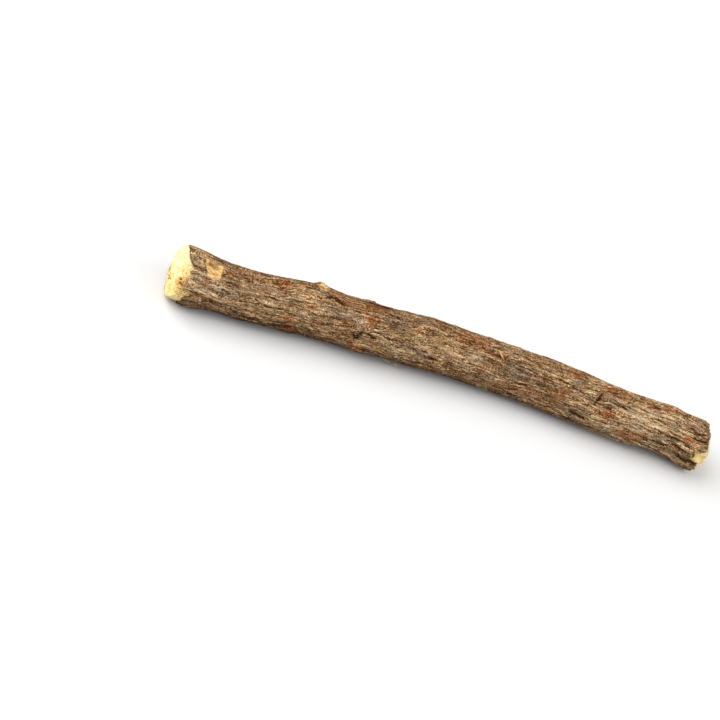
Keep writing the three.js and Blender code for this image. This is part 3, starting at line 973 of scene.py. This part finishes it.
def bark_material():
    """Noise of five sizes stretched along the grain makes the tone, and the ramps colour it."""
    n = Nodes("licorice bark")
    grain = n.attribute("grain", "Vector")
    crack, relief, rust = n.attribute("crack"), n.attribute("relief"), n.attribute("rust")
    grey, light, bare = n.attribute("grey"), n.attribute("light"), n.attribute("bare")

    broad = n.lumps(grain, 11, 5, 0.0, 2, 0.5)
    plates = n.lumps(grain, 7, 0.95, 13.7, 2, 0.55, 0.5)
    lines = n.lumps(grain, 6.5, 0.36, 3.1, 5, 0.7, 0.6)
    flecks = n.lumps(grain, 1.9, 0.34, 7.7, 4, 0.65, 0.3)
    specks = n.lumps(grain, 0.5, 0.24, 1.7, 3, 0.6)
    groove = n.ranged(n.math("ABSOLUTE", n.centred(plates)), 0.0, 0.035, 1.0, 0.0)
    groove = n.math("MULTIPLY", groove, n.ranged(n.lumps(grain, 4, 1.8, 31.0, 1), 0.45, 0.6))

    # Painted light and shade in the tone: relief pales the ridges and darkens the hollows, light
    # brings painted light on the front and painted shade low down, and crack and groove paint
    # shade into the cracks and grooves.
    tone = n.weighted(
        PLAIN_TONE, (n.centred(plates), 0.8), (n.centred(lines), 1.8), (n.centred(flecks), 1.5),
        (n.centred(specks), 2.5), (n.centred(broad), 0.35), (groove, -0.2), (relief, 0.45),
        (light, 0.16), (crack, -0.4), (rust, -0.04), (grey, -0.06),
    )
    cool = n.ranged(n.lumps(grain, 5, 1.5, 11.3, 3, 0.6, 0.5), 0.5, 0.62)
    cool = n.math("MULTIPLY", n.math("MAXIMUM", cool, grey, clamp=True), 0.85)
    share = n.math("MULTIPLY", cool, 0.45)
    calmer = n.weighted(tone, (n.math("SUBTRACT", 0.38, tone), share))
    colour = n.mix(cool, n.ramp(tone, BARK_TONES), n.ramp(calmer, GREY_TONES))
    warm = n.ranged(n.lumps(grain, 3.2, 1.2, 21.9, 3, 0.6, 0.5), 0.52, 0.66)
    warm = n.math("MAXIMUM", n.math("MULTIPLY", warm, 0.7), rust, clamp=True)
    share = n.math("MULTIPLY", rust, 0.2)
    calmer = n.weighted(tone, (n.math("SUBTRACT", 0.42, tone), share))
    colour = n.mix(warm, colour, n.ramp(calmer, RUST_TONES))
    inner = n.lumps(grain, 1.4, 0.6, 5.5, 3, 0.6)
    colour = n.mix(bare, colour, n.ramp(inner, INNER_TONES))
    n.put(n.shader.inputs["Base Color"], colour)
    n.put(n.shader.inputs["Roughness"], n.ranged(tone, 0.2, 0.8, 0.95, 0.78))
    n.shader.inputs["Specular IOR Level"].default_value = 0.12

    height = n.weighted(lines, (plates, 1.4), (flecks, 0.6), (specks, 0.3), (groove, -0.25))
    n.bump(height, 0.0005)
    return n.material


# Colours of the wood from its pits to its palest fibres, on the face of a cut and on its side.
FACE_TONES = [
    (0, (118, 70, 30)), (0.2, (184, 130, 60)), (0.42, (228, 184, 98)), (0.58, (246, 212, 132)),
    (0.74, (255, 234, 172)), (0.9, (255, 247, 206)),
]
SIDE_TONES = [
    (0, (122, 76, 36)), (0.2, (178, 124, 62)), (0.42, (226, 176, 96)), (0.6, (252, 212, 136)),
    (0.78, (255, 232, 164)), (1, (255, 244, 196)),
]


def wood_material():
    """Lumps and streaks on the face, fibres on the side, stains, pits and speckles on both, and
    painted light on the side.
    """
    n = Nodes("licorice wood")
    grain, face = n.attribute("grain", "Vector"), n.attribute("face", "Vector")
    stain = n.attribute("stain", "Vector")
    ochre, pit, streak = (n.component(stain, i) for i in range(3))
    lumps = n.lumps(face, 1.5, 1.5, 2.0, 4, 0.65)
    fine = n.lumps(grain, 0.4, 0.4, 5.0, 2, 0.6)
    runs = n.noise(face, (2.6, 0.45, 1.0), 0.0, 3, 0.6)
    fibres = n.lumps(grain, 0.9, 0.6, 8.0, 3, 0.7)
    facing = n.component(face, 2)
    texture = n.mix(facing, fibres, n.mix(streak, lumps, runs))
    tone = n.weighted(0.7, (n.centred(texture), 1.1), (n.centred(fine), 0.6), (ochre, -0.24))
    # Painted light: the side of the wood is painted paler than its face.
    tone = n.weighted(n.math("ADD", tone, 0.12), (facing, -0.12))
    grainy = n.lumps(grain, 0.5, 0.5, 15.0, 3, 0.75, 0.6)
    speckle = n.math("MULTIPLY", n.ranged(grainy, 0.5, 0.38), n.weighted(0.05, (ochre, 0.55)))
    tone = n.math("SUBTRACT", tone, n.math("MAXIMUM", speckle, 0.0))
    tone = n.weighted(tone, (pit, -0.7))
    colour = n.mix(facing, n.ramp(tone, SIDE_TONES), n.ramp(tone, FACE_TONES))
    n.put(n.shader.inputs["Base Color"], colour)
    n.shader.inputs["Roughness"].default_value = 0.8
    n.bump(n.weighted(n.math("ADD", texture, fibres), (fine, 0.5)), 0.0006)
    return n.material


bark_look = bark_material()
bark = make_bark()
bark.data.materials.append(bark_look)
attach(bark, "root")
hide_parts("licorice_root")

wood = wood_material()
for where, cut, end, outward in (("left", LEFT, 0.0, -1), ("right", RIGHT, LENGTH, 1)):
    side = cut, end, outward
    for piece in make_wood(f"wood_{where}", *side), make_fibres(f"fibres_{where}", *side):
        piece.data.materials.append(wood)
        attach(piece, "root")

flakes = make_flakes("bark_flakes", FLAKES + random_flakes())
flakes.data.materials.append(bark_look)
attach(flakes, "root")

# ---- Floor, light and camera ----

FLOOR_CORNERS = [(-3, -3, 0), (3, -3, 0), (3, 3, 0), (-3, 3, 0)]
FLOOR_GREY = 0.63
SKY_STRENGTH = 0.68

floor = new_piece("floor", FLOOR_CORNERS, [(0, 1, 2, 3)])
pale = Nodes("pale floor")
pale.shader.inputs["Base Color"].default_value = (FLOOR_GREY, FLOOR_GREY, FLOOR_GREY, 1)
pale.shader.inputs["Roughness"].default_value = 0.9
pale.shader.inputs["Specular IOR Level"].default_value = 0.0
floor.data.materials.append(pale.material)

# The photo's view, in degrees, metres and, for the lens, millimetres.
CAMERA = {"azimuth": -11, "elevation": 43, "roll": 25.735, "distance": 0.71473, "lens": 120}
LOOK_AT = Vector((-0.02464, -0.013467, 0.008))

# The camera's right, up and back, which the lights use too.
azimuth, elevation, roll = (math.radians(CAMERA[k]) for k in ("azimuth", "elevation", "roll"))
flat = math.cos(elevation)
back = Vector((math.sin(azimuth) * flat, -math.cos(azimuth) * flat, math.sin(elevation)))
level = Vector((0, 0, 1)).cross(back).normalized()
upright = back.cross(level)
right = level * math.cos(roll) + upright * math.sin(roll)
up = upright * math.cos(roll) - level * math.sin(roll)

camera_data = bpy.data.cameras.new("camera")
camera_data.lens = CAMERA["lens"]
camera_data.sensor_width = 36
camera_data.sensor_fit = "HORIZONTAL"
camera_data.clip_start = 0.01
camera = new_object("camera", camera_data)
spot = LOOK_AT + back * CAMERA["distance"]
camera.matrix_world = Matrix([*zip(right, up, back, spot), (0, 0, 0, 1)])
scene.camera = camera


def area_light(name, direction, distance, size, power):
    """A square light that shines on the root, in metres and watts."""
    data = bpy.data.lights.new(name, "AREA")
    data.size = size
    data.energy = power
    light = new_object(name, data)
    light.location = direction.normalized() * distance
    light.rotation_euler = (-direction).to_track_quat("-Z", "Y").to_euler()


area_light("key", up * 0.78 + back * 0.6 - right * 0.3, distance=1.3, size=1.5, power=23)
area_light("fill", back * 0.6 + right, distance=1.4, size=1.0, power=8)

world = bpy.data.worlds.new("studio")
world.use_nodes = True
sky = world.node_tree.nodes["Background"].inputs
sky["Color"].default_value = (1, 1, 1, 1)
sky["Strength"].default_value = SKY_STRENGTH
scene.world = world
scene.view_settings.view_transform = "Standard"
scene.view_settings.look = "None"
